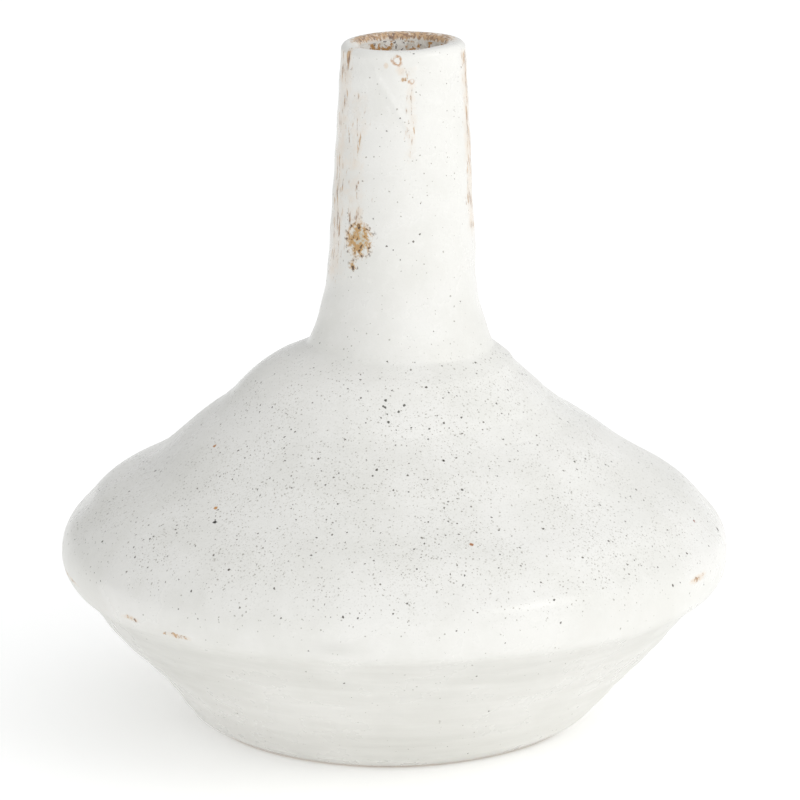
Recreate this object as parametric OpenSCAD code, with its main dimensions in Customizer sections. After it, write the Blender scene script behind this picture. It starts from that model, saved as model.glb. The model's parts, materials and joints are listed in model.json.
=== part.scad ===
// Stoneware bud vase: a wide, low body with a rounded belly edge and a tall narrow neck.
// The body is thrown in three sections and the neck in a fourth. The sections are luted
// together with slip, and a white glaze coats the outside and lines the hollow.
// Millimetres, +Z up. The origin is the centre of the foot, on the surface it stands on.

/* [Foot] */
// Diameter of the foot at the top of its trimmed bevel
foot_d = 91; // [76:1:110]
// Height of the trimmed bevel
bevel_h = 3; // [2:0.25:4]
// Height of the band of bare clay, wiped so that the glaze stays off the kiln shelf
bare_h = 0.8; // [0.5:0.1:2]
// How far the bevel leans in towards the standing face
bevel_w = 5; // [3:0.25:6.5]
// Width of the ring that the vase stands on
foot_ring_w = 7; // [5:0.5:9]
// Depth of the hollow turned under the foot
recess_h = 2.5; // [1.5:0.25:3.5]
// Thickness of the clay floor above that hollow
floor_t = 6; // [4.5:0.25:8]

/* [Body] */
// Widest diameter, at the belly edge
belly_d = 152; // [126:1:184]
// Height of the belly edge
belly_z = 40; // [33:0.5:50]
// Radius that rounds the belly edge
belly_round = 10.5; // [8.5:0.25:13]
// Diameter at the shallow ring-shaped hollow half way up the shoulder
waist_d = 114; // [96:1:122]
// Height of that hollow above the belly edge
waist_rise = 19.5; // [16:0.5:24]
// How far the shoulder swells out of the straight line from the belly edge to that hollow
shoulder_swell = 1.6; // [0.5:0.1:3]
// Diameter at the kink, where the top section of the body begins
kink_d = 75.6; // [63:0.2:92]
// Height of the kink above the belly edge
kink_rise = 33.5; // [28:0.5:41]
// Height above the kink of the crown, where the body turns in to the neck
crown_rise = 10.5; // [8:0.25:13]
// How far the crown stands out beyond the ledge
crown_run = 3.4; // [2:0.1:5]
// Height above the crown of the ledge that the neck stands on
ledge_rise = 3; // [2:0.25:4]
// Least width of the ledge that is left beside the neck
ledge_w = 0.2; // [0.1:0.1:3]

/* [Neck] */
// Height of the whole vase, to the top of the lip
vase_h = 156.5; // [130:0.5:188]
// Distance of the neck's axis from the body's axis
neck_shift = 1.6; // [0:0.1:3]
// Diameter of the neck where it meets the ledge
root_d = 42.4; // [38:0.2:52]
// Diameter of the neck above its flared root
flare_d = 34.2; // [31:0.2:36]
// Height of the flared root
flare_h = 11; // [8:0.5:14]
// Diameter of the mouth, inside its glaze
mouth_d = 21; // [17.4:0.1:25.4]
// Thickness of the lip, over the glaze on both its sides
lip_w = 3.4; // [2.8:0.1:4.2]
// Length of the straight bore under the lip
bore_h = 24; // [16:1:30]
// How much wider the throat is than the mouth, where the neck opens into the body
throat_flare = 5; // [2:0.5:7]

/* [Clay and glaze] */
// Thickness of the thrown clay wall of the body
wall = 5; // [4:0.1:6.2]
// Thickness of the clay shelf round the throat
shelf_t = 3.5; // [2.5:0.25:5]
// Thickness of the glaze, outside and inside
glaze_t = 0.5; // [0.3:0.05:0.8]
// Thickness of the slip in each luted joint
slip_t = 0.8; // [0.5:0.05:1.2]
// Distance of the belly seam below the belly edge
seam_drop = 4.5; // [3:0.5:8]

/* [Hidden] */
$fn = 96;

bevel_round = 3;      // softens the top of the trimmed bevel
shoulder_share = 0.4; // how far up that line the swell is greatest
shoulder_round = 20;  // radii of the soft swellings, hollows and bends of the outside
waist_round = 90;
kink_round = 12;
crown_round = 6;
flare_round = 55;
edge_share = 0.9;     // most of a straight edge that the round at its end may use up
bend_step = 9;        // largest turn, in degrees, between two points on a rounded corner
clear = 1;            // how far a cutting shape runs past what it cuts

kink_z = belly_z + kink_rise;
crown_z = kink_z + crown_rise;
ledge_z = crown_z + ledge_rise;      // top of the glaze on the ledge
neck_z = ledge_z - glaze_t;          // top of the clay that the neck is luted to
shelf_z = neck_z - shelf_t;          // underside of the shelf round the throat
seam_z = belly_z - seam_drop;
floor_z = recess_h + floor_t;        // top of the clay floor
lip_round = lip_w / 2;               // rounds the lip over its whole thickness
mouth_z = vase_h - lip_round;        // where the lip's glaze meets the lining
bore_z = mouth_z - bore_h;
stand_r = foot_d / 2 - bevel_w;      // outer radius of the standing face
ledge_r = root_d / 2 + neck_shift + ledge_w;
crown_r = ledge_r + crown_run;
mouth_r = mouth_d / 2;
lip_r = mouth_r + lip_w;
throat_r = mouth_r + throat_flare / 2;

glaze_colour = [0.93, 0.925, 0.90];
lining_colour = [0.86, 0.83, 0.77];
clay_colour = [0.78, 0.69, 0.56];
slip_colour = [0.70, 0.58, 0.44];

// ---- Outlines, as points [radius, height] ----

function unit(v) = v / norm(v);

// Outward normal of the edge from a to b, where the clay lies on the left of the way up
function edge_normal(a, b) = unit([b.y - a.y, a.x - b.x]);

// Corner between two edges with normals n1 and n2 that both touch a circle from outside
function corner_over(centre, radius, n1, n2) = centre + radius * (n1 + n2) / (1 + n1 * n2);

// Normal of the line from p that touches a circle, reaching it from below (1) or above (-1)
function touching_normal(p, centre, radius, side) =
    let (way = centre - p, turn = atan2(way.y, way.x) - side * acos(-radius / norm(way)))
    [cos(turn), sin(turn)];

// The wanted round for a corner, or the largest one that the edges beside it have room for
function fitting_round(before, corner, after, wanted) =
    let (n1 = edge_normal(before, corner),
         n2 = edge_normal(corner, after),
         shorter = min(norm(corner - before), norm(after - corner)))
    min(wanted, edge_share * shorter * (1 + n1 * n2) / abs(cross(n1, n2)));

// An end of an outline, moved level so that it stays in its own plane
function level_end(p, normal, depth) = [p.x - depth / normal.x, p.y];

// One rounded corner [radius, height, round] of a surface, seen at a depth under it. The
// round is negative where the surface is hollow. Deeper than the round, the corner is sharp.
function bend(corner, n1, n2, depth) =
    let (round = corner.z > 0 ? max(corner.z, depth) : corner.z,
         centre = corner_over([corner.x, corner.y], -round, n1, n2),
         start = atan2(n1.y, n1.x),
         turn = atan2(cross(n1, n2), n1 * n2),
         steps = round == depth ? 0 : ceil(abs(turn) / bend_step))
    [for (i = [0:steps]) let (a = start + turn * i / max(steps, 1))
        centre + (round - depth) * [cos(a), sin(a)]];

// A whole outline at a depth under the glazed surface. The path's first and last points
// are plain ends, and the points between are corners.
function outline(path, depth) =
    let (last = len(path) - 1,
         normals = [for (i = [1:last]) edge_normal(path[i - 1], path[i])])
    concat([level_end(path[0], normals[0], depth)],
           [for (i = [1:last - 1]) each bend(path[i], normals[i - 1], normals[i], depth)],
           [level_end(path[last], normals[last - 1], depth)]);

// ---- The three paths that the whole vase is drawn from ----

// The belly edge is a circle that the lower wall and the shoulder both touch. The shoulder
// swells out of the line that would run straight from that circle to the hollow.
foot_corner = [foot_d / 2, bevel_h];
waist_corner = [waist_d / 2, belly_z + waist_rise];
belly_centre = [belly_d / 2 - belly_round, belly_z];
straight_normal = touching_normal(waist_corner, belly_centre, belly_round, -1);
straight_start = belly_centre + belly_round * straight_normal;
shoulder_corner = straight_start + shoulder_share * (waist_corner - straight_start)
                  + shoulder_swell * straight_normal;
belly_corner = corner_over(belly_centre, belly_round,
                           touching_normal(foot_corner, belly_centre, belly_round, 1),
                           touching_normal(shoulder_corner, belly_centre, belly_round, -1));

// The soft bends stay within the edges beside them
kink_corner = [kink_d / 2, kink_z];
shoulder_bend = fitting_round(belly_corner, shoulder_corner, waist_corner, shoulder_round);
waist_bend = fitting_round(shoulder_corner, waist_corner, kink_corner, waist_round);
root_corner = [root_d / 2, neck_z];
flare_corner = [flare_d / 2, neck_z + flare_h];
lip_corner = [lip_r, vase_h];
flare_bend = fitting_round(root_corner, flare_corner, lip_corner, flare_round);

// Outside of the body, from the standing face to the ledge under the neck
body_path = [[stand_r, 0],
             [foot_corner.x, foot_corner.y, bevel_round],
             [belly_corner.x, belly_corner.y, belly_round],
             [shoulder_corner.x, shoulder_corner.y, shoulder_bend],
             [waist_corner.x, waist_corner.y, -waist_bend],
             [kink_corner.x, kink_corner.y, -kink_round],
             [crown_r, crown_z, crown_round],
             [ledge_r, ledge_z]];

// Outside of the neck, over the lip to the edge of the mouth
neck_path = [root_corner,
             [flare_corner.x, flare_corner.y, -flare_bend],
             [lip_corner.x, lip_corner.y, lip_round],
             [mouth_r, vase_h, lip_round],
             [mouth_r, mouth_z]];

// Inside of the neck, from the edge of the mouth to the throat and down through the shelf
throat_path = [[mouth_r, mouth_z],
               [mouth_r, bore_z, 0],
               [throat_r, neck_z, 0],
               [throat_r, shelf_z - clear]];

// ---- Half sections, drawn in the plane of radius and height ----

// All that lies inside the body's outer surface, at a depth under it
module body_section(depth) {
    top = ledge_z - depth;
    keep_between(0, top)
        polygon(concat([[0, 0]], outline(body_path, depth), [[0, ledge_z]]));
}

// The hollow of the body, smaller by the thickness of a lining
module hollow_section(lining) {
    keep_between(floor_z + lining, shelf_z - lining)
        polygon(concat([[0, 0]], outline(body_path, glaze_t + wall + lining), [[0, ledge_z]]));
}

// All that lies inside the neck's outer surface, down to the shelf
module neck_section(depth) {
    polygon(concat([[0, neck_z]], outline(neck_path, depth), [[0, mouth_z]]));
}

// The way down through the neck, at a depth behind its glazed surface
module throat_section(depth) {
    points = outline(throat_path, depth);
    polygon(concat([[0, vase_h + clear], [points[0].x, vase_h + clear]],
                   points, [[0, shelf_z - clear]]));
}

// Keeps what lies between two heights
module keep_between(low, high) {
    intersection() {
        children();
        translate([0, low])
            square([belly_d, high - low]);
    }
}

// ---- Solids that the pieces are cut from ----

// Turns a half section round the neck's own axis
module on_neck_axis() {
    translate([neck_shift, 0, 0])
        rotate_extrude()
            children();
}

// Clay of the body between two heights, with its hollow and the turned foot
module body_clay(low, high) {
    rotate_extrude()
        keep_between(low, high)
            difference() {
                body_section(glaze_t);
                hollow_section(0);
                translate([-clear, -clear])
                    square([stand_r - foot_ring_w + clear, recess_h + clear]);
            }
}

// Clay of the neck between two heights, with the way down through it
module neck_clay(low, high) {
    on_neck_axis()
        keep_between(low, high)
            difference() {
                neck_section(glaze_t);
                throat_section(glaze_t);
            }
}

// ---- The pieces ----

// Floor, turned foot and lower wall, thrown as one bowl
module base_bowl() {
    color(clay_colour)
        body_clay(0, seam_z - slip_t / 2);
}

// The belly edge and the shoulder up to the kink, a thrown ring luted upside down on the bowl
module shoulder_dome() {
    color(clay_colour)
        body_clay(seam_z + slip_t / 2, kink_z - slip_t / 2);
}

// The last thrown ring, which closes the body to the throat
module shoulder_cap() {
    color(clay_colour)
        difference() {
            body_clay(kink_z + slip_t / 2, neck_z);
            on_neck_axis()
                throat_section(glaze_t);
        }
}

// The neck with its rolled lip, thrown by itself and set a little off centre
module neck_tube() {
    color(clay_colour)
        neck_clay(neck_z + slip_t, vase_h);
}

// Slip between the bowl and the shoulder
module belly_slip() {
    color(slip_colour)
        body_clay(seam_z - slip_t / 2, seam_z + slip_t / 2);
}

// Slip between the shoulder and its cap
module shoulder_slip() {
    color(slip_colour)
        body_clay(kink_z - slip_t / 2, kink_z + slip_t / 2);
}

// Slip between the cap and the neck
module neck_slip() {
    color(slip_colour)
        neck_clay(neck_z, neck_z + slip_t);
}

// Outer glaze of the body, from just above the table to the ledge round the neck
module body_glaze() {
    color(glaze_colour)
        difference() {
            rotate_extrude()
                keep_between(bare_h, ledge_z)
                    difference() {
                        body_section(0);
                        body_section(glaze_t);
                    }
            on_neck_axis()
                neck_section(0);
        }
}

// Outer glaze of the neck, over the lip to the edge of the mouth
module neck_glaze() {
    color(glaze_colour)
        on_neck_axis()
            polygon(concat(outline(neck_path, 0), reversed(outline(neck_path, glaze_t))));
}

// Glaze poured through the mouth, which lines the neck and the hollow
module liner_glaze() {
    color(lining_colour)
        difference() {
            union() {
                rotate_extrude()
                    hollow_section(0);
                on_neck_axis()
                    keep_between(shelf_z - clear / 2, mouth_z)
                        throat_section(glaze_t);
            }
            rotate_extrude()
                hollow_section(glaze_t);
            on_neck_axis()
                throat_section(0);
        }
}

function reversed(list) = [for (i = [len(list) - 1:-1:0]) list[i]];

base_bowl();
shoulder_dome();
shoulder_cap();
neck_tube();
belly_slip();
shoulder_slip();
neck_slip();
body_glaze();
neck_glaze();
liner_glaze();
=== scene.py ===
# %% [markdown]
# # A stoneware bud vase in speckled white glaze
# The vase is thrown on a wheel in four parts: a bowl, a shoulder ring, a cap and a neck.
# They are stuck together with slip, and the whole pot is dipped in a white glaze.
# Every piece here is a shape turned round the wheel's axis. One function then bends all
# of them together, as the potter's hands did, so pieces that touch stay in touch.

# %% Load the frame
import json
import math

import bpy
import numpy as np
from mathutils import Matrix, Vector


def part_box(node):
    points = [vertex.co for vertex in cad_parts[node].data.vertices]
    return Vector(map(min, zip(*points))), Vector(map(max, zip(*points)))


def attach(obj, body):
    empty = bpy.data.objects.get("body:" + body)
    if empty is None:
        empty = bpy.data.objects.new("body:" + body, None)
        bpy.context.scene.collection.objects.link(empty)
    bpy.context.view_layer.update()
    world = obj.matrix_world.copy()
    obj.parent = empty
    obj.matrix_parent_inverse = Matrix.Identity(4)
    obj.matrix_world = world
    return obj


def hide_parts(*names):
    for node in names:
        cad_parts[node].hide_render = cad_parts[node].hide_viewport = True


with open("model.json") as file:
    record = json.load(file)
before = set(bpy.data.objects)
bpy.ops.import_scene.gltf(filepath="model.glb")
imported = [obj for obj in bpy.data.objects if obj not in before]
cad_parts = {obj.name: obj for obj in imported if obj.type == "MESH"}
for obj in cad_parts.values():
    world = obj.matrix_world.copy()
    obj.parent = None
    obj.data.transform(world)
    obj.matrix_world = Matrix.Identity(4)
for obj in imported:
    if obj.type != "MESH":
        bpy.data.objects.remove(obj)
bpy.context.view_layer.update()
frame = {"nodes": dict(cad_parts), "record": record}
print("pieces in the frame:", ", ".join(sorted(frame["nodes"])))

# %% [markdown]
# ## The sizes that the frame gives
# The heights of the three slip joints, the widest radius, the top and the mouth all come
# from the frame, so the looks follow the solids. `MM` turns millimetres into metres.
# The few sizes that the frame's boxes can't show are typical of hand-thrown stoneware.

# %% Sizes
MM = 0.001


def box_of(node):
    """Lowest and highest corner of one node, as two rows of numbers."""
    low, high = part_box(node)
    return np.array(low), np.array(high)


def slip_joint(node):
    """Lowest and highest height of a slip joint, and its outer radius."""
    low, high = box_of(node)
    return low[2], high[2], (high[0] - low[0]) / 2


mounts = {mount["name"]: mount for mount in frame["record"]["mounts"]}
mouth_r = mounts["mouth"]["dims"]["r_mm"] * MM
bore_h = mounts["mouth"]["dims"]["length_mm"] * MM
neck_x = mounts["mouth"]["pos_m"][0]
ring_middle = mounts["foot"]["pos_m"][0]

belly_r = box_of("body_glaze")[1][0]
glaze_t = belly_r - box_of("shoulder_dome")[1][0]
wall_t = box_of("shoulder_dome")[1][0] - box_of("liner_glaze")[1][0]
floor_z = box_of("liner_glaze")[0][2]
top_z = box_of("neck_glaze")[1][2]
seam_low, seam_high, _ = slip_joint("belly_slip")
kink_low, kink_high, kink_clay_r = slip_joint("shoulder_slip")
root_low, root_high, root_clay_r = slip_joint("neck_slip")
seam_z, kink_z = (seam_low + seam_high) / 2, (kink_low + kink_high) / 2
kink_r, root_r = kink_clay_r + glaze_t, root_clay_r + glaze_t

ring_w = 7 * MM        # the ring that the pot stands on
recess_h = 2.5 * MM    # the hollow turned under the foot
lip_w = 3.4 * MM       # the lip, with glaze on both its sides
shelf_t = 3.5 * MM     # the clay shelf round the throat
throat_r = mouth_r + 2.5 * MM
stand_r = ring_middle + ring_w / 2
lip_r = mouth_r + lip_w
lip_z = top_z - lip_w / 2
print(f"belly {2000 * belly_r:.1f} mm wide, {1000 * top_z:.1f} mm tall, "
      f"seam at {1000 * seam_z:.1f} mm, kink at {1000 * kink_z:.1f} mm")

# %% [markdown]
# ## The outline of the pot
# On the wheel a pot's shape is one line, from the foot to the lip. This pot needs only a few
# corners, each one rounded by its own arc: a trimmed bevel at the foot, the belly edge, a
# soft hollow in the shoulder, the kink, the crown that turns in to the neck, and the flare.

# %% Rounded corners
STEP = 0.2 * MM                 # distance between two points of the outline
ARC_POINTS = 40                 # points on each rounded corner
EDGE_SHARE = 0.9                # most of a straight edge that a round may use up
belly_z = seam_z + 4.5 * MM     # the belly edge is a little above its seam
bevel_w, bevel_h = 5 * MM, 3 * MM
waist_r, waist_rise = 57 * MM, 19.5 * MM
shoulder_share, shoulder_swell = 0.4, 1.6 * MM
crown_run, crown_rise = 5.8 * MM, 10.5 * MM
flare_r, flare_rise = 17.1 * MM, 11 * MM
bevel_round, belly_round = 3 * MM, 10.5 * MM
shoulder_round, waist_round = 20 * MM, 90 * MM
kink_round, crown_round = 9 * MM, 6 * MM
root_round, flare_round = 2.5 * MM, 55 * MM


def unit(way):
    """The same direction, with a length of one."""
    return way / np.linalg.norm(way)


def rounded(corners, step=STEP):
    """Evenly spaced points along straight edges with rounded corners [radius, height, round].
    A corner's arc touches both its edges. It starts at the round over the tangent of half
    the angle between them, or at nine tenths of the shorter edge where that is less."""
    line = [np.array(corners[0][:2])]
    for before, corner, after in zip(corners, corners[1:], corners[2:]):
        here, back, on = (np.array(point[:2]) for point in (corner, before, after))
        u, v = unit(back - here), unit(on - here)
        half = math.acos(np.clip(u @ v, -1, 1)) / 2
        room = EDGE_SHARE * min(np.linalg.norm(back - here), np.linalg.norm(on - here))
        start = min(corner[2] / math.tan(half), room)
        radius = start * math.tan(half)
        centre = here + unit(u + v) * radius / math.sin(half)
        first, last = here + u * start - centre, here + v * start - centre
        turn = np.linspace(0, 1, ARC_POINTS)[:, None]
        swept = math.pi - 2 * half
        spokes = np.sin((1 - turn) * swept) * first + np.sin(turn * swept) * last
        line.extend(centre + spokes / math.sin(swept))
    line = np.vstack([line, corners[-1][:2]])
    at = np.concatenate([[0], np.cumsum(np.linalg.norm(np.diff(line, axis=0), axis=1))])
    fine = np.linspace(0, at[-1], int(at[-1] / step) + 2)
    return np.stack([np.interp(fine, at, line[:, k]) for k in (0, 1)], 1)


def arc(centre, radius, start, end, count):
    """Points on a circle, from one angle to another, in degrees."""
    turn = np.radians(np.linspace(start, end, count))[:, None]
    return np.array(centre) + radius * np.hstack([np.cos(turn), np.sin(turn)])


def touching(point, centre, radius, side):
    """The outward normal of the line from a point that touches a circle, as the way to the
    centre turned by a right angle and the angle whose sine is radius over distance."""
    way = np.array(centre) - point
    turn = math.atan2(way[1], way[0]) - side * math.acos(-radius / np.linalg.norm(way))
    return np.array([math.cos(turn), math.sin(turn)])


print(f"the belly's edge is rounded by {1000 * belly_round:.1f} mm")

# %% [markdown]
# ## Where the corners lie
# The walls above and below the belly edge are straight lines that touch its circle, so the
# belly corner, where the two lines would meet, is worked out from their outward normals.
# The shoulder's corner stands a little outside its straight line, which makes it swell.

# %% The outline
foot_corner = np.array([stand_r + bevel_w, bevel_h])
waist_corner = np.array([waist_r, belly_z + waist_rise])
belly_centre = np.array([belly_r - belly_round, belly_z])
lower_normal = touching(foot_corner, belly_centre, belly_round, 1)
straight_normal = touching(waist_corner, belly_centre, belly_round, -1)
straight_start = belly_centre + belly_round * straight_normal
shoulder_corner = (straight_start + shoulder_share * (waist_corner - straight_start)
                   + shoulder_swell * straight_normal)
upper_normal = touching(shoulder_corner, belly_centre, belly_round, -1)
belly_corner = (belly_centre + belly_round * (lower_normal + upper_normal)
                / (1 + lower_normal @ upper_normal))

outline = rounded([(stand_r, 0),
                   (*foot_corner, bevel_round),
                   (*belly_corner, belly_round),
                   (*shoulder_corner, shoulder_round),
                   (*waist_corner, waist_round),
                   (kink_r, kink_z, kink_round),
                   (root_r + crown_run, kink_z + crown_rise, crown_round),
                   (root_r, root_high, root_round),
                   (flare_r, root_low + flare_rise, flare_round),
                   (lip_r, top_z, lip_w / 2),
                   (mouth_r, top_z, lip_w / 2),
                   (mouth_r, lip_z)])
way = np.gradient(outline, axis=0)
way /= np.linalg.norm(way, axis=1)[:, None]
outward = np.stack([way[:, 1], -way[:, 0]], 1)
print(f"outline of {len(outline)} points, belly edge at {1000 * belly_z:.1f} mm")

# %% [markdown]
# ## Cutting the outline into pieces
# A skin is the outline moved in by a depth, such as the glaze or the clay wall. The inside
# of the wall follows a softened outline, because a potter's inner hand makes no sharp edge.
# A piece's half section is a loop of such stretches, going up outside and down inside.

# %% Skins
def skin(depth):
    """The outline moved inwards, at right angles to itself."""
    return outline - depth * outward


def between(curve, low, high, count):
    """A stretch of a curve between two heights, as evenly spaced points."""
    up = curve[:int(np.argmax(curve[:, 1])) + 1]
    z = np.linspace(low, high, count)
    return np.stack([np.interp(z, up[:, 1], up[:, 0]), z], 1)


def along(curve, start, end, count):
    """A stretch of a curve between two of the outline's point numbers."""
    at = np.linspace(start, end, count)
    number = np.arange(len(curve))
    return np.stack([np.interp(at, number, curve[:, k]) for k in (0, 1)], 1)


def softened(curve, reach):
    """A curve with each point moved to the average of the stretch round it."""
    count = int(reach / STEP) | 1
    padded = np.pad(curve, ((count // 2, count // 2), (0, 0)), mode="edge")
    return np.stack([np.convolve(padded[:, k], np.ones(count) / count, "valid")
                     for k in (0, 1)], 1)


def clay_outer(low, high, count):
    """The outside of the clay between two heights, going up."""
    return between(glaze_inner, low, high, count)


def hollow(low, high, count):
    """The inside of the clay wall between two heights, going down."""
    return between(wall_inner, low, high, count)[::-1]


def corner(*points):
    """Plain corners of a half section, each one a radius and a height."""
    return np.array(points, float)


bead_z = 0.4 * MM         # where the wiped lower edge of the glaze begins
curl_drop = 2 * MM        # how far below the lip's middle it begins to curl over
inner_soft = 14 * MM      # how long a stretch the inside of the wall is averaged over
rising = outline[:int(np.argmax(outline[:, 1]))]
ledge_point = int(np.argmin(np.abs(rising[:, 1] - root_high)))
bead_point = int(np.argmin(np.abs(rising[:, 1] - bead_z)))
curl_point = int(np.argmin(np.abs(rising[:, 1] - lip_z + curl_drop)))
last_point = len(outline) - 1
glaze_outer, glaze_inner = skin(0), skin(glaze_t)
wall_inner = softened(rising, inner_soft) - (glaze_t + wall_t) * outward[:len(rising)]
shelf_z = root_low - shelf_t
bore_z = lip_z - bore_h
throat_clay_r, bore_clay_r = throat_r + glaze_t, mouth_r + glaze_t
print(f"glaze {1000 * glaze_t:.1f} mm thick, clay wall {1000 * wall_t:.1f} mm thick")

# %% [markdown]
# ## What the hands did
# A thrown pot is never a perfect turned shape. Its centre line strays a little, it is a
# little oval, its wall carries the spiral of the fingers, and the lip dips on one side.
# `by_hand` moves a place in the pot by all of these. It is a smooth map of space, so a
# point inside the wall moves with the point on the skin next to it.

# %% How uneven the pot is
# How far off the wheel's axis each thrown section was set, to the right and to the back
foot_over = -1.0 * MM       # the foot was trimmed a little to the left
cap_over = -0.9 * MM
neck_lean = 0.5 * MM        # how much further over the lip is than the neck's root
neck_back = 0.8 * MM

# Dents and swellings: turn, height in mm, half width in degrees, half height in mm, and how
# far the wall comes out, in mm
DENTS = [(180, 60, 28, 4, -1.1), (180, 33, 30, 4, -0.9), (180, 23, 30, 5, 0.9),
         (0, 29, 30, 5, -1.1), (-5, 60, 30, 8, 0.6), (-90, 73, 50, 3, 0.3), (195, 14, 16, 4, -0.5),
         (-25, 11, 14, 4, -0.4), (-8, 104, 9, 4, -0.35), (150, 76, 14, 4, 0.4), (60, 60, 18, 7, -0.5),
         (95, 31, 20, 6, -0.4), (-60, 88, 14, 3, 0.3), (-140, 80, 12, 3, 0.35), (20, 79, 10, 3, -0.35)]
# Runs of thicker glaze: lowest and highest height, the turn at each, width and depth in mm
RUNS = [(138, 152, -83, -117, 0.8, 0.22), (33, 45, -107, -109, 0.9, 0.30),
        (104, 116, -3, -10, 0.9, 0.30), (17, 20, -61, -63, 1.0, 0.30),
        (120, 150, 70, 62, 1.0, 0.25), (60, 84, 118, 112, 1.2, 0.25),
        (92, 130, 160, 168, 1.0, 0.22), (45, 47, -123, -124, 0.9, 0.35)]
# How deep each kind of unevenness is, in mm, and how far its spirals climb in one turn
RIPPLE, SPIRAL, FINGERS = 0.055, 0.10, 0.07
SPIRAL_CLIMB, FINGER_CLIMB = 4.6, 8.5
SEAM_STEP, SEAM_ROLL, BOWL_SET_IN, STEP_REACH = 0.45, 0.3, 0.5, 0.9
KINK_SWELL, KINK_GROOVE, KINK_SIDE = 0.55, 0.35, 5.5
OVAL = 0.007              # how much slimmer the pot is one way than the other
LIP_DIP = 0.65            # how far the lip dips, in mm
RIPPLES = 26
rng = np.random.default_rng(17)
ripple_turns = rng.integers(1, 8, RIPPLES)
ripple_rise = rng.uniform(-1, 1, RIPPLES) / (11 * MM)
ripple_phase = rng.uniform(0, 2 * np.pi, RIPPLES)
print(f"{RIPPLES} ripples, {len(DENTS)} dents and swellings, {len(RUNS)} runs of glaze")

# %% [markdown]
# ## The straying centre line
# Each thrown section was stuck on a little off the middle of the one below. A smooth step
# carries the centre line from one section's distance to the next.

# %% The centre line
def smooth_step(low, high, x):
    """0 below low, 1 above high, and a smooth rise between them."""
    t = np.clip((x - low) / (high - low), 0, 1)
    return t * t * (3 - 2 * t)


def hump(x, middle, width):
    """1 in the middle, and a bell shape that is down to a third one width away."""
    return np.exp(-((x - middle) / width) ** 2)


def set_over(z):
    """How far the axis of the pot strays at a height, to the right and to the back. Each
    section stands off by its own distance, with a smooth change through the joint."""
    right = foot_over * smooth_step(10 * MM, 0, z)
    right = right + cap_over * smooth_step(kink_z - 10 * MM, kink_z, z)
    right = right + (neck_x - cap_over) * smooth_step(root_low - 5 * MM, root_high + MM, z)
    up_neck = smooth_step(root_high, top_z, z)
    return right + neck_lean * up_neck, neck_back * up_neck


def angle_from(turn, degrees):
    """The angle from a direction, the short way round, in degrees."""
    return (np.degrees(turn) - degrees + 180) % 360 - 180


print("the lip stands over by", [round(1000 * float(v), 1) for v in set_over(top_z)], "mm")

# %% [markdown]
# ## The uneven wall
# Soft ripples cover the whole pot, the fingers leave a spiral, and each joint has its own
# crease. Dents and runs of thicker glaze are bell-shaped bumps at places of their own.

# %% The uneven wall
def unevenness(r, z, turn):
    """How far the wall stands out from its turned shape, in metres."""
    out = sum(np.cos(m * turn + q * z + p) for m, q, p in
              zip(ripple_turns, ripple_rise, ripple_phase)) * RIPPLE * MM
    out = out * (0.35 + 0.65 * smooth_step(10 * MM, 45 * MM, r))
    # the spiral of the fingers: fine on the bowl, wide on the shoulder
    spiral = np.cos(2 * np.pi * z / (SPIRAL_CLIMB * MM) - turn)
    out = out + SPIRAL * MM * spiral * smooth_step(seam_z - 2 * MM, seam_z - 9 * MM, z)
    wide = np.cos(2 * np.pi * z / (FINGER_CLIMB * MM) - turn + 0.6 * np.cos(2 * turn))
    out = out + FINGERS * MM * wide * smooth_step(belly_z + 4 * MM, belly_z + 12 * MM, z)
    # the crease under the belly: a step in, a roll above it, and a bowl that is set in
    under = seam_z - (1.2 + 0.5 * np.cos(3 * turn + 1) + 0.3 * np.cos(7 * turn)) * MM
    stepped = smooth_step(under, under - STEP_REACH * MM, z)
    step = stepped * np.exp(-np.abs(under - z) / (6 * MM))
    out = out - SEAM_STEP * MM * step + SEAM_ROLL * MM * hump(z, under + 1.8 * MM, 2.2 * MM)
    out = out - BOWL_SET_IN * MM * stepped * smooth_step(3 * MM, 14 * MM, z)
    # the kink: a swelling on each side of a groove
    below_kink = hump(z, kink_z - KINK_SIDE * MM, 4 * MM)
    above_kink = hump(z, kink_z + KINK_SIDE * MM, 4 * MM)
    out = out + KINK_SWELL * MM * (below_kink + above_kink)
    out = out - KINK_GROOVE * MM * hump(z, kink_z, 1.8 * MM)
    for at_turn, at_z, wide_deg, high, depth in DENTS:
        sideways = hump(angle_from(turn, at_turn), 0, wide_deg)
        out = out + depth * MM * sideways * hump(z, at_z * MM, high * MM)
    for low, high, turn_low, turn_high, wide, thick in RUNS:
        middle = np.interp(z, [low * MM, high * MM], [turn_low, turn_high])
        reach = (smooth_step(low * MM - 2 * MM, low * MM + MM, z)
                 * smooth_step(high * MM + 2 * MM, high * MM - MM, z))
        out = out + thick * MM * reach * hump(np.radians(angle_from(turn, middle)) * r, 0, wide * MM)
    # the belly edge, where the frame's width is measured, stays nearly true
    at_belly = hump(z, belly_z, 5 * MM)
    return out * (1 - 0.75 * at_belly) - 0.10 * MM * at_belly


print(f"the belly's edge stands out by {1000 * unevenness(belly_r, belly_z, 0.0):.2f} mm on the right")

# %% [markdown]
# ## All of it together
# The pot is also a little oval, its lip is thicker on the inside at the front, and the lip
# dips towards the front left.

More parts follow.
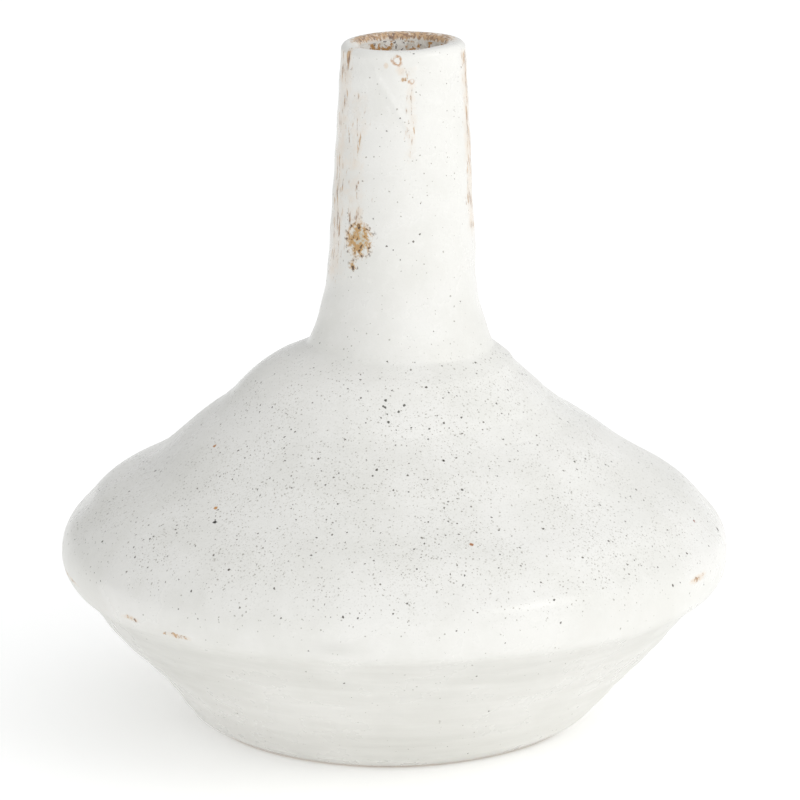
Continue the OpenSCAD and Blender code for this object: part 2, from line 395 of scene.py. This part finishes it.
# %% By hand
def by_hand(r, z, turn):
    """Places [x, y, z] of the pot's points, given on the wheel by radius, height and turn."""
    off_axis = smooth_step(4 * MM, 12 * MM, r)
    oval = 1 - OVAL * np.sin(turn - 0.3 * smooth_step(0.06, 0.15, z)) ** 2
    radius = r * oval + unevenness(r, z, turn) * off_axis
    inner_lip = (smooth_step(lip_r - 1 * MM, lip_r - 3 * MM, r)
                 * smooth_step(lip_z - 6 * MM, lip_z, z))
    thicker = 0.6 + 0.6 * hump(angle_from(turn, -60), 0, 60) + 0.3 * np.cos(4 * turn) ** 2
    radius = radius - inner_lip * thicker * MM
    right, back = set_over(z)
    x = radius * np.cos(turn) + right
    y = radius * np.sin(turn) + back
    near_lip = smooth_step(lip_z - 9 * MM, top_z, z)
    dip = (0.5 + 0.5 * np.cos(turn - np.radians(222))) ** 2.5 + 0.07 * (1 + np.cos(5 * turn + 0.5))
    return x, y, z - LIP_DIP * MM * near_lip * dip


print("the right of the belly's edge:", [round(1000 * float(v), 1) for v in by_hand(belly_r, belly_z, 0.0)])

# %% [markdown]
# ## Turning a loop into a mesh
# A loop of points is turned in even steps, and neighbouring rings are joined by quads.
# A loop that starts and ends on the axis closes with a fan of triangles at each pole.
# Any other loop joins its last ring to its first one, so that every piece is closed.

# %% Turned pieces
SAME_PLACE = 1e-7                  # points closer than this are one point
ON_AXIS = 1e-9
SHARP_ANGLE = math.radians(38)     # shading is smooth over any edge that bends less


def turned(name, loop, columns):
    """A closed mesh, turned from a half section that goes up outside and down inside."""
    loop = np.array(loop, float)
    apart = np.linalg.norm(np.diff(loop, axis=0), axis=1) > SAME_PLACE
    loop = loop[np.concatenate([[True], apart])]
    poles = loop[0, 0] < ON_AXIS
    rings = loop[1:-1] if poles else loop
    turn = np.arange(columns) * 2 * np.pi / columns
    r, z, t = np.broadcast_arrays(rings[:, :1], rings[:, 1:], turn[None, :])
    points = np.stack(by_hand(r, z, t), -1).reshape(-1, 3)
    number = np.arange(r.size).reshape(r.shape)
    beside = np.roll(number, -1, axis=1)
    low, high = (slice(0, -1), slice(1, None))
    if poles:
        quads = np.stack([number[low], beside[low], beside[high], number[high]], -1)
    else:
        above = np.roll(number, -1, axis=0)
        quads = np.stack([number, beside, np.roll(beside, -1, axis=0), above], -1)
    faces = quads.reshape(-1, 4).tolist()
    if poles:
        ends = np.stack(by_hand(loop[[0, -1], 0], loop[[0, -1], 1], np.zeros(2)), -1)
        points = np.vstack([points, ends])
        start, end = r.size, r.size + 1
        first, last = number[0], number[-1]
        faces += np.stack([np.full(columns, start), np.roll(first, -1), first], -1).tolist()
        faces += np.stack([np.full(columns, end), last, np.roll(last, -1)], -1).tolist()
    mesh = bpy.data.meshes.new(name)
    mesh.from_pydata(points, [], faces)
    mesh.polygons.foreach_set("use_smooth", np.ones(len(mesh.polygons), bool))
    mesh.set_sharp_from_angle(angle=SHARP_ANGLE)
    made = bpy.data.objects.new(name, mesh)
    bpy.context.scene.collection.objects.link(made)
    triangles = sum(len(face) - 2 for face in faces)
    print(f"{name}: {len(points)} points, {triangles} triangles")
    return made


def finished(name, loop, columns, node):
    """A turned piece that rides on the root and is shown in place of its node."""
    made = turned(name, loop, columns)
    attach(made, "root")
    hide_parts(node)
    return made


# %% [markdown]
# ## The clay
# The bowl has a turned foot: a ring to stand on, with a shallow hollow inside it. Turning
# leaves fine rings there, because the tool moves outwards as the wheel spins.
# The shoulder ring and the cap close the body, and the neck is a slim thrown tube.

# %% Clay pieces
ring_in = stand_r - ring_w
under_r = np.linspace(0, ring_in - 0.6 * MM, 46)
tool_marks = 0.09 * MM * np.cos(2 * np.pi * under_r / (2.6 * MM)) * smooth_step(0, 6 * MM, under_r)
under = np.stack([under_r, recess_h + tool_marks], 1)
ring = rounded([(ring_in - 0.6 * MM, recess_h), (ring_in + 0.2 * MM, recess_h, 0.4 * MM),
                (ring_in + 0.9 * MM, 0, 0.9 * MM), (stand_r - 0.5 * MM, 0)], 0.3 * MM)
bend_z = floor_z + 3 * MM             # where the floor's bend runs into the wall
bend_r = wall_inner[20, 0]
floor_r = bend_r - 8 * MM             # where the flat floor ends
floor_bend = rounded([(bend_r, bend_z), (floor_r + 5 * MM, floor_z, 6 * MM), (floor_r, floor_z)], MM)
bowl = finished("thrown_bowl", np.vstack([
    under, ring, clay_outer(0.25 * MM, seam_low, 70), hollow(bend_z, seam_low, 34),
    floor_bend, corner((0, floor_z))]), 256, "base_bowl")
shoulder = finished("thrown_shoulder", np.vstack([
    clay_outer(seam_high, kink_low, 60), hollow(seam_high, kink_low, 40)]),
    256, "shoulder_dome")
cap = finished("thrown_cap", np.vstack([
    clay_outer(kink_high, root_low, 26), corner((throat_clay_r, root_low), (throat_clay_r, shelf_z)),
    hollow(kink_high, shelf_z, 14)]), 192, "shoulder_cap")
neck = finished("thrown_neck", np.vstack([
    along(glaze_inner, ledge_point, last_point, 130),
    corner((bore_clay_r, bore_z), (throat_clay_r, root_high))]), 128, "neck_tube")

# %% [markdown]
# ## The slip
# Slip is clay stirred with water. The potter brushes it on as glue, so each joint holds a
# thin ring of it. The rings lie hidden in the wall, as they do in the fired pot.

# %% Slip pieces
belly_slip = finished("slip_in_belly_joint", np.vstack([
    clay_outer(seam_low, seam_high, 3), hollow(seam_low, seam_high, 3)]), 192, "belly_slip")
shoulder_slip = finished("slip_in_shoulder_joint", np.vstack([
    clay_outer(kink_low, kink_high, 3), hollow(kink_low, kink_high, 3)]), 192, "shoulder_slip")
neck_slip = finished("slip_in_neck_joint", np.vstack([
    clay_outer(root_low, root_high, 3),
    corner((throat_clay_r, root_high), (throat_clay_r, root_low))]), 128, "neck_slip")

# %% [markdown]
# ## The glaze
# The pot was dipped, so one skin of glass covers it from just above the table to inside
# the lip. It ends at the foot in a rounded bead, where the potter wiped it away. A second
# glaze, poured in and out through the mouth, lines the neck and the hollow.

# %% Glaze pieces
bead = arc((glaze_outer[bead_point] + glaze_inner[bead_point]) / 2, glaze_t / 2, 150, 320, 6)
body_glaze = finished("glaze_on_body", np.vstack([
    bead, along(glaze_outer, bead_point + 1, ledge_point, 196),
    along(glaze_inner, ledge_point, bead_point + 2, 10)]), 448, "body_glaze")
neck_glaze = finished("glaze_on_neck", np.vstack([
    along(glaze_outer, ledge_point, curl_point, 150), glaze_outer[curl_point + 1:],
    glaze_inner[curl_point:][::-1][::2], along(glaze_inner, curl_point - 2, ledge_point, 30)]),
    320, "neck_glaze")
lining = finished("glaze_lining", np.vstack([
    corner((0, floor_z), (20 * MM, floor_z), (floor_r, floor_z)),
    hollow(bend_z, shelf_z, 50)[::-1],
    corner((throat_clay_r, shelf_z), (throat_clay_r, root_low), (bore_clay_r, bore_z),
           (bore_clay_r, lip_z)),
    np.stack([np.full(40, mouth_r), np.linspace(lip_z, bore_z, 40)], 1),
    corner((throat_r, root_low), (throat_r, shelf_z - glaze_t)),
    hollow(bend_z, shelf_z - glaze_t, 50) - [glaze_t, 0],
    corner((floor_r, floor_z + glaze_t), (0, floor_z + glaze_t))]), 224, "liner_glaze")

# %% [markdown]
# ## Colours and nodes
# A colour is written as the hex value that a screen shows, and turned into light once.
# `node` adds one shader node with its settings and links, whatever its kind is.

# %% Colour and node helpers
def colour(text):
    """Linear light from an sRGB hex colour: a straight line near black, then a power."""
    value = np.array([int(text[i:i + 2], 16) for i in (0, 2, 4)]) / 255
    linear = np.where(value <= 0.04045, value / 12.92, ((value + 0.055) / 1.055) ** 2.4)
    return (*linear.tolist(), 1.0)


def node(tree, kind, inputs=None, **settings):
    """A new node. The inputs are numbers, colours or other nodes' sockets."""
    made = tree.nodes.new("ShaderNode" + kind)
    for name, value in settings.items():
        setattr(made, name, value)
    for name, value in (inputs or {}).items():
        if isinstance(value, bpy.types.NodeSocket):
            tree.links.new(value, made.inputs[name])
        else:
            made.inputs[name].default_value = value
    return made


def math_node(tree, operation, *values):
    """One step of arithmetic on numbers or sockets."""
    return node(tree, "Math", dict(enumerate(values)), operation=operation).outputs[0]


def times(tree, first, second):
    """The product of two values."""
    return math_node(tree, "MULTIPLY", first, second)


def plus(tree, first, second):
    """The sum of two values."""
    return math_node(tree, "ADD", first, second)


def about(tree, value, strength):
    """A cloudy value from 0 to 1, moved to lie round zero and made stronger or weaker."""
    return times(tree, math_node(tree, "SUBTRACT", value, 0.5), strength)


def ramp(tree, value, low, high, to_low=0.0, to_high=1.0):
    """A value turned smoothly from one range into another."""
    return node(tree, "MapRange", {"Value": value, "From Min": low, "From Max": high,
                                   "To Min": to_low, "To Max": to_high},
                interpolation_type="SMOOTHSTEP").outputs[0]


def noise(tree, place, size, detail=3.0, rough=0.5, stretch=(1, 1, 1)):
    """Cloudy values from 0 to 1, with clouds of about a size in metres."""
    scaled = node(tree, "Mapping", {"Vector": place, "Scale": stretch}).outputs[0]
    return node(tree, "TexNoise", {"Vector": scaled, "Scale": 1 / size, "Detail": detail,
                                   "Roughness": rough}).outputs["Fac"]


def over(tree, under, layer, mask):
    """A layer of colour painted over another through a mask."""
    return node(tree, "Mix", {0: mask, 6: under, 7: layer}, data_type="RGBA").outputs[2]


def new_material(name, look):
    """A new material with its node tree and its main shader."""
    made = bpy.data.materials.new(name)
    made.use_nodes = True
    made.diffuse_color = colour(look)
    return made, made.node_tree, made.node_tree.nodes["Principled BSDF"]


print("white glaze in linear light:", [round(v, 3) for v in colour("E4E4DF")[:3]])

# %% [markdown]
# ## Specks
# The specks are iron grains in the clay that bleed up through the glaze in the kiln. Space
# is filled with cells, each with one grain at a random place. Where the skin cuts a grain
# a speck shows, so specks come in all sizes up to the grain's, as they do on a real pot.

# %% Specks
SOFT_EDGE = 0.55       # share of a spot's radius that has its full strength


def shaken(tree, place, moved, size, detail, reach):
    """Places moved by up to a reach, by another amount in each cloud of a size in metres."""
    clouds = node(tree, "TexNoise", {"Vector": place, "Scale": 1 / size, "Detail": detail})
    shift = node(tree, "VectorMath", {0: clouds.outputs["Color"], "Scale": reach},
                 operation="SCALE").outputs[0]
    return node(tree, "VectorMath", {0: moved, 1: shift}, operation="ADD").outputs[0]


def specks(tree, place, cell, grain, share, density):
    """A mask of specks, and a random value for each. Cell and grain are sizes in metres."""
    cells = node(tree, "TexVoronoi", {"Vector": place, "Scale": 1 / cell, "Randomness": 1.0})
    picked = node(tree, "SeparateColor", {"Color": cells.outputs["Color"]})
    kept = math_node(tree, "LESS_THAN", picked.outputs[0], times(tree, density, share))
    radius = ramp(tree, picked.outputs[1], 0, 1, 0.45 * grain / cell, grain / cell)
    edge = math_node(tree, "DIVIDE", cells.outputs["Distance"], radius)
    return times(tree, ramp(tree, edge, 1.0, SOFT_EDGE), kept), picked.outputs[2]


def spot(tree, place, centre, radius):
    """A mask that is 1 within a radius of one point."""
    away = node(tree, "VectorMath", {0: place, 1: centre}, operation="DISTANCE").outputs["Value"]
    return ramp(tree, away, radius, SOFT_EDGE * radius)


def on_skin(degrees, height):
    """The place on the glaze at a turn and a height, in millimetres up the wheel's axis."""
    turn, z = math.radians(degrees), height * MM
    r = np.interp(z, rising[:, 1], rising[:, 0])
    return tuple(float(v) for v in by_hand(r, np.array(z), np.array(turn)))


print("a point at the front of the belly edge:", [round(1000 * v, 1) for v in on_skin(-90, 1000 * belly_z)])

# %% [markdown]
# ## Where the glaze is thin
# Glaze runs off edges while it melts, so the clay shows through tan at the lip, on the
# neck's sides and along the belly seam. These soft areas, and ovals of painted shade on the
# bowl and the left side, are painted as numbers on the points, and the material then breaks
# them up with fine noise.

# %% Painted areas
PATCHES = {
    # turn, height, half width and half height of each soft oval in millimetres, strength
    "thin": [(60, 135, 6, 18, .55), (120, 112, 6, 20, .5), (-92, 152, 2, 2, .6),
             (-150, 154, 1.5, 2.5, .9), (-106, 153, 0.7, 0.8, .9), (-90, 150, 1.2, 0.7, .8),
             (-128, 119, 2, 5, .66), (-82, 141, 2, 7, .5), (-129, 36, 6, 0.9, .75),
             (-140, 37, 4, 0.9, .8), (-27, 42, 6, 1, .85), (35, 38, 16, 1, .7),
             (130, 37, 18, 1, .7), (-165, 38, 14, 0.9, .65)],
    "patch": [(-127, 114, 4.4, 5, 1.0), (-131, 108, 2, 2, .7), (75, 96, 3, 4, .8)],
    # the shade ovals are painted shade, mostly on the bowl under the belly and on the left side
    "shade": [(-100, 38, 5, 1.6, .9), (-150, 26, 24, 8, .6), (-88, 8, 30, 6, .6), (-20, 22, 20, 8, .5),
              (60, 20, 40, 9, .6), (160, 15, 30, 9, .6), (-90, 65, 30, 7, .25), (-160, 60, 16, 12, .5)],
}
# Wear down the sides of the neck: turn, width in degrees, lowest and highest height, strength
WORN_SIDES = [(-157, 24, 106, 154, .54), (-135, 22, 112, 146, .46), (-16, 15, 116, 154, .60),
              (-84, 9, 134, 152, .46), (100, 30, 100, 150, .5)]


def paint(made, name, amounts):
    """Stores one number for each point of a piece."""
    layer = made.data.attributes.new(name, "FLOAT", "POINT")
    layer.data.foreach_set("value", amounts.astype(np.float32))


def points_of(made):
    """Every point's place as turn round the axis, height, and distance from the axis."""
    co = np.empty(3 * len(made.data.vertices), np.float32)
    made.data.vertices.foreach_get("co", co)
    x, y, z = co.reshape(-1, 3).astype(float).T
    right, back = set_over(z)
    x, y = x - right, y - back
    return np.arctan2(y, x), z, np.hypot(x, y)


def ovals_on(turn, z, r, ovals):
    """How strong the soft ovals are at each point. The strongest one counts."""
    amount = np.zeros(len(z))
    for at_turn, at_z, wide, high, strength in ovals:
        sideways = np.radians(angle_from(turn, at_turn)) * r
        oval = strength * hump(sideways, 0, wide * MM) * hump(z, at_z * MM, high * MM)
        amount = np.maximum(amount, oval)
    return amount


def wear_on(turn, z, r):
    """How thin the glaze is down the neck's sides, inside the lip's edge and on the seam."""
    amount = np.zeros(len(z))
    for at_turn, wide, low, high, strength in WORN_SIDES:
        reach = smooth_step((low - 8) * MM, low * MM, z) * smooth_step((high + 3) * MM, high * MM, z)
        amount = np.maximum(amount, strength * reach * hump(angle_from(turn, at_turn), 0, wide))
    on_lip = hump(z, top_z - 0.6 * MM, 1.2 * MM) * smooth_step(lip_r - 0.8 * MM, lip_r - 2.4 * MM, r)
    further_back = 0.45 + 0.55 * smooth_step(-0.3, 0.5, np.sin(turn))
    amount = np.maximum(amount, 0.95 * on_lip * further_back)
    on_seam = 0.35 * hump(z, seam_z + 0.8 * MM, 0.7 * MM) * (0.5 + 0.5 * np.cos(5 * turn))
    return np.maximum(amount, on_seam)


for made in (body_glaze, neck_glaze):
    point_turn, point_z, point_r = points_of(made)
    for name, ovals in PATCHES.items():
        amount = ovals_on(point_turn, point_z, point_r, ovals)
        if name == "thin":
            amount = np.maximum(amount, wear_on(point_turn, point_z, point_r))
        paint(made, name, amount)
    print(f"painted {', '.join(PATCHES)} on {made.name}")

# %% [markdown]
# ## The white ground
# A tin-white glaze fired to a satin: a warm white with faint clouds. The band above the seam
# is painted whiter, as painted light where the roll faces up, and the bowl is painted grey, as
# painted shade under the belly. Clouds of noise at two sizes give that unevenness, and a noise
# squashed in height gives the faint bands of the wheel.

# %% White ground
white, t, glaze = new_material("satin_white_glaze", "E4E4DF")
place = node(t, "TexCoord").outputs["Object"]
height = node(t, "SeparateXYZ", {"Vector": place}).outputs["Z"]
thin, patch, shade = (node(t, "Attribute", attribute_name=name).outputs["Fac"] for name in PATCHES)

cloud = noise(t, place, 16 * MM, 5.0, 0.6)
fine_cloud = noise(t, place, 2.2 * MM, 4.0, 0.65)
bands = noise(t, place, 2.4 * MM, 4.0, 0.6, (0.10, 0.10, 1.0))
surface = over(t, colour("EAE9E5"), colour("E4E3DE"), ramp(t, cloud, 0.36, 0.66))
# painted light: the roll from the seam up past the belly edge, which faces up to the lamp, is painted
# whiter in clouds
above = ramp(t, height, seam_z, belly_z + 4 * MM)
painted_light_on_roll = times(t, ramp(t, fine_cloud, 0.5, 0.8), times(t, above, 0.45))
surface = over(t, surface, colour("F1F0EC"), painted_light_on_roll)
# painted shade: the bowl under the belly faces down and is painted grey, most just under the seam and less
# towards the foot; the shade ovals add to it, and the wheel's faint bands break it up
below = ramp(t, height, seam_z + 1 * MM, seam_z - 3 * MM)
fades = ramp(t, height, 8 * MM, seam_z, 0.55, 1.0)
painted_shade = times(t, plus(t, shade, times(t, below, fades)), ramp(t, bands, 0.32, 0.66, 0.6, 1.0))
surface = over(t, surface, colour("CDCCC6"), times(t, painted_shade, 0.62))
print(f"white ground: {len(t.nodes)} nodes")

# %% [markdown]
# ## The iron specks
# The specks are brown-black, dense on the shoulder, and rare below the seam and on the
# neck. Each kind has its own cell and grain. The space they lie in is shaken a little
# first, so that no speck is a perfect round.

# %% Iron specks
warped = shaken(t, place, place, 0.5 * MM, 1.0, 0.5 * MM)
on_shoulder = times(t, ramp(t, height, seam_z + 2 * MM, belly_z + 14 * MM, 0.06, 1.0),
                    ramp(t, height, root_high + 4 * MM, root_low - 6 * MM, 0.15, 1.0))
crowd = times(t, on_shoulder, ramp(t, noise(t, place, 13 * MM, 2.0), 0.35, 0.62, 0.45, 1.0))
dust, _ = specks(t, warped, 0.62 * MM, 0.17 * MM, 0.8, crowd)
faint, _ = specks(t, warped, 0.85 * MM, 0.27 * MM, 0.9, crowd)
dark, dark_pick = specks(t, warped, 1.5 * MM, 0.32 * MM, 0.65, crowd)
middling, middling_pick = specks(t, warped, 3.6 * MM, 0.42 * MM, 0.35, crowd)
big, big_pick = specks(t, warped, 9.0 * MM, 0.62 * MM, 0.5, crowd)
grit = times(t, ramp(t, noise(t, place, 0.45 * MM, 2.0, 0.6), 0.54, 0.72), times(t, crowd, 0.5))
dark_look = over(t, colour("6F6960"), colour("45403A"), dark_pick)
middling_look = over(t, colour("5B554C"), colour("35302A"), middling_pick)
big_look = over(t, colour("40382F"), colour("9A6A3F"), ramp(t, big_pick, 0.55, 0.8))
for look, mask in [(colour("B4B2A8"), grit), (colour("A5A298"), times(t, dust, 0.7)),
                   (colour("98948A"), times(t, faint, 0.7)), (dark_look, times(t, dark, 0.9)),
                   (middling_look, middling), (big_look, big)]:
    surface = over(t, surface, look, mask)
print(f"with specks: {len(t.nodes)} nodes")

# %% [markdown]
# ## The marks that this pot is known by
# A few grains are bigger or browner than the rest, and some darker ones lie scattered
# under the neck. Each is one round spot in the shaken space, on the skin of the pot.

# %% Marks
SCATTER = 9
# Turn in degrees, height and radius in mm, and colour
MARKS = [(-152, 69, 0.55, "B07A45"), (-134, 60, 0.6, "BF8A50"), (-131, 58, 0.6, "26241F"),
         (-74, 57, 0.6, "A8724A"), (-16, 51, 0.6, "8A4B3C"), (-82, 28, 0.4, "7A766C"),
         (-79, 12, 0.4, "77736A"), (40, 66, 0.6, "3F3A33"), (100, 58, 0.6, "B07A45"),
         (75, 104, 0.5, "6B4A38")]
for _ in range(SCATTER):
    MARKS.append((rng.normal(-87, 4), rng.normal(79.5, 1.8), rng.uniform(0.28, 0.5), "57564F"))
for degrees, mark_z, radius, look in MARKS:
    surface = over(t, surface, colour(look), spot(t, warped, on_skin(degrees, mark_z), radius * MM))
print(f"{len(MARKS)} marks")

# %% [markdown]
# ## Blisters
# Gas that leaves the clay late bursts through the glaze, and leaves a brown ring. Each one
# here is a spot with a smaller spot taken out of it, in a space that is shaken more.

# %% Blisters
RING_SHARE = 0.62      # radius of the hole in a ring, as a share of the ring's radius
# Radius in mm, turn in degrees and height in mm
BLISTERS = [(1.5, -95, 155), (0.85, -82, 150), (1.2, 70, 140)]
crumpled = shaken(t, place, warped, 1.1 * MM, 3.0, 1.3 * MM)
broken = ramp(t, fine_cloud, 0.36, 0.56, 0.25, 1.0)
for radius, degrees, mark_z in BLISTERS:
    # shaking only moves places one way, so the middle moves by half of the reach too
    middle = tuple(v + 0.65 * MM for v in on_skin(degrees, mark_z))
    blister = math_node(t, "SUBTRACT", spot(t, crumpled, middle, radius * MM),
                        spot(t, crumpled, middle, RING_SHARE * radius * MM))
    surface = over(t, surface, colour("B8895C"), times(t, blister, broken))
print(f"{len(BLISTERS)} blisters")

# %% [markdown]
# ## Worn and thin places
# Where the glaze ran thin the clay warms it from below, and where it wore through the clay
# shows as tan streaks with dark middles. Noise drawn out in height makes the streaks on
# the neck. One rust patch on the neck has flakes of white, ochre and dark brown.

# %% Worn and thin places
warmed = ramp(t, plus(t, thin, about(t, fine_cloud, 0.6)), 0.30, 0.75)
surface = over(t, surface, colour("E2CDB5"), times(t, warmed, 0.55))
on_neck = ramp(t, height, root_high, root_high + 4 * MM)
streak = node(t, "Mix", {0: on_neck, 2: noise(t, place, 1.2 * MM, 4.0, 0.6),
                         3: noise(t, place, 0.8 * MM, 4.0, 0.65, (1.0, 1.0, 0.16))}).outputs[0]
worn = ramp(t, plus(t, times(t, thin, 0.85), about(t, streak, 1.8)), 0.53, 0.68)
brown = noise(t, place, 0.8 * MM, 3.0, 0.6, (1.0, 1.0, 0.4))
tan = over(t, over(t, colour("C9A478"), colour("83593A"), ramp(t, brown, 0.42, 0.62)),
           colour("463A33"), ramp(t, brown, 0.60, 0.70))
surface = over(t, surface, tan, times(t, worn, 0.85))
flakes = noise(t, place, 1.0 * MM, 3.0, 0.6)
scab = over(t, over(t, colour("C9C2B0"), colour("C39B66"), ramp(t, flakes, 0.40, 0.52)),
            colour("5A4636"), ramp(t, flakes, 0.56, 0.64))
surface = over(t, surface, scab, ramp(t, plus(t, patch, times(t, flakes, 1.3)), 1.05, 1.45))
t.links.new(surface, glaze.inputs["Base Color"])
print(f"with wear: {len(t.nodes)} nodes")

# %% [markdown]
# ## Gloss and pits
# The glaze has the gloss of glass (refraction 1.5), dulled by tiny crystals, and is duller
# still where it is worn. Specks and worn places lie a little lower than the glaze.

# %% Gloss and pits
rough = plus(t, ramp(t, cloud, 0.3, 0.7, 0.24, 0.36), times(t, worn, 0.2))
t.links.new(rough, glaze.inputs["Roughness"])
glaze.inputs["IOR"].default_value = 1.5
pits = math_node(t, "SUBTRACT", times(t, fine_cloud, ramp(t, height, 30 * MM, 50 * MM, 0.0, 0.3)),
                 plus(t, times(t, dark, 0.5), times(t, worn, 0.4)))
t.links.new(node(t, "Bump", {"Height": pits, "Distance": 0.18 * MM, "Strength": 0.6}).outputs[0],
            glaze.inputs["Normal"])
print(f"{white.name}: {len(t.nodes)} nodes")

# %% [markdown]
# ## The lining, the clay and the slip
# The lining is the same glaze poured thinner, so the clay tints it and it lies in uneven
# patches. The clay is a buff stoneware with fine grog, dry and matte. Slip is the same
# clay without grog, a little darker where it squeezed out.

# %% Lining, clay and slip
lining_glaze, t, shader = new_material("thin_lining_glaze", "DCD3C4")
place = node(t, "TexCoord").outputs["Object"]
blotch = noise(t, place, 2.6 * MM, 5.0, 0.65)
surface = over(t, colour("F7F5F0"), colour("DAD6CC"), ramp(t, blotch, 0.48, 0.64))
surface = over(t, surface, colour("C2935C"), ramp(t, noise(t, place, 1.9 * MM, 4.0, 0.6), 0.53, 0.62))
surface = over(t, surface, colour("4E3C3A"), ramp(t, noise(t, place, 1.4 * MM, 3.0, 0.6), 0.60, 0.68))
t.links.new(surface, shader.inputs["Base Color"])
shader.inputs["Roughness"].default_value = 0.42
t.links.new(node(t, "Bump", {"Height": blotch, "Distance": 0.2 * MM, "Strength": 0.5}).outputs[0],
            shader.inputs["Normal"])


def bare_clay(name, light, dark_look, rough):
    """Dry fired clay: grains of two tones, and a fine grit in the surface."""
    made, t, shader = new_material(name, light)
    place = node(t, "TexCoord").outputs["Object"]
    grain = noise(t, place, 0.9 * MM, 5.0, 0.7)
    wide = noise(t, place, 14 * MM, 3.0, 0.5)
    surface = over(t, colour(light), colour(dark_look), ramp(t, grain, 0.42, 0.72))
    surface = over(t, surface, colour(dark_look), times(t, ramp(t, wide, 0.4, 0.7), 0.3))
    t.links.new(surface, shader.inputs["Base Color"])
    shader.inputs["Roughness"].default_value = rough
    t.links.new(node(t, "Bump", {"Height": grain, "Distance": 0.15 * MM, "Strength": 0.7}).outputs[0],
                shader.inputs["Normal"])
    return made


buff_clay = bare_clay("buff_stoneware", "C9B393", "A98D69", 0.9)
buff_slip = bare_clay("stoneware_slip", "B5986F", "96794F", 0.85)
for made, material in [(bowl, buff_clay), (shoulder, buff_clay), (cap, buff_clay), (neck, buff_clay),
                       (belly_slip, buff_slip), (shoulder_slip, buff_slip), (neck_slip, buff_slip),
                       (body_glaze, white), (neck_glaze, white), (lining, lining_glaze)]:
    made.data.materials.append(material)
print("materials:", ", ".join(sorted(m.name for m in bpy.data.materials)))

# %% [markdown]
# ## The floor
# The vase stands on a plain white sheet, which also shines a little, so that it stays as
# bright as the room behind it.

# %% Floor
HALF_FLOOR = 4
floor_mesh = bpy.data.meshes.new("floor")
floor_mesh.from_pydata([(-HALF_FLOOR, -HALF_FLOOR, 0), (HALF_FLOOR, -HALF_FLOOR, 0),
                        (HALF_FLOOR, HALF_FLOOR, 0), (-HALF_FLOOR, HALF_FLOOR, 0)],
                       [], [(0, 1, 2, 3)])
floor = bpy.data.objects.new("floor", floor_mesh)
bpy.context.scene.collection.objects.link(floor)
paper, _, shader = new_material("white_paper", "F7F7F6")
shader.inputs["Base Color"].default_value = colour("F7F7F6")
shader.inputs["Roughness"].default_value = 0.9
shader.inputs["Emission Color"].default_value = colour("FFFFFF")
shader.inputs["Emission Strength"].default_value = 0.25
floor_mesh.materials.append(paper)
print(f"floor {2 * HALF_FLOOR} m wide")

# %% [markdown]
# ## The light
# The room is bright and brighter on the right. A soft lamp high on the right and in front
# shapes the vase, so its left side is a little greyer, and a weak one low in front opens
# the shadow under the belly.

# %% Light
def soft_light(name, place, aim, size, power, tint):
    """A flat lamp, as wide and as high as its size, that faces a point."""
    data = bpy.data.lights.new(name, "AREA")
    data.shape = "RECTANGLE"
    data.size, data.size_y = size
    data.energy = power
    data.color = colour(tint)[:3]
    lamp = bpy.data.objects.new(name, data)
    lamp.location = place
    toward = np.array(aim, float) - np.array(place, float)
    lamp.rotation_euler = (math.atan2(math.hypot(toward[0], toward[1]), -toward[2]), 0,
                           math.atan2(-toward[0], toward[1]))
    bpy.context.scene.collection.objects.link(lamp)
    print(f"{name}: {power} W")


soft_light("key", (0.80, -0.58, 0.78), (0, 0, 0.07), (0.65, 0.24), 1.65, "FFFDF8")
soft_light("low_fill", (0.15, -1.3, 0.10), (0, 0, 0.02), (0.9, 0.9), 0.8, "FFFFFF")
world = bpy.data.worlds.new("bright_room")
world.use_nodes = True
t = world.node_tree
facing = node(t, "VectorMath", {0: node(t, "TexCoord").outputs["Generated"], 1: (0.82, -0.45, 0.35)},
              operation="DOT_PRODUCT").outputs["Value"]
brighter_right = node(t, "MapRange", {"Value": facing, "From Min": -1.0, "From Max": 1.0,
                                      "To Min": 0.42, "To Max": 1.18}).outputs[0]
t.nodes["Background"].inputs["Color"].default_value = colour("FAFBFC")
t.links.new(brighter_right, t.nodes["Background"].inputs["Strength"])
bpy.context.scene.world = world
bpy.context.scene.view_settings.view_transform = "Standard"

# %% [markdown]
# ## The camera
# It looks slightly down from a metre away, through a long lens, so the mouth shows as a
# slim oval and the pot's proportions stay true.

# %% Camera
camera_away, camera_up, camera_right = 1.0, 0.325, 0.0013
camera_aim = 0.074          # the height on the pot's axis that the camera looks at
looks_down = math.atan2(camera_up - camera_aim, camera_away)
camera_data = bpy.data.cameras.new("camera")
camera_data.lens, camera_data.sensor_width = 204.4, 36
camera = bpy.data.objects.new("camera", camera_data)
camera.location = (camera_right, -camera_away, camera_up)
camera.rotation_euler = (math.pi / 2 - looks_down, 0, 0)
bpy.context.scene.collection.objects.link(camera)
bpy.context.scene.camera = camera
print(f"camera {camera_away} m away, looking down {math.degrees(looks_down):.0f} degrees")
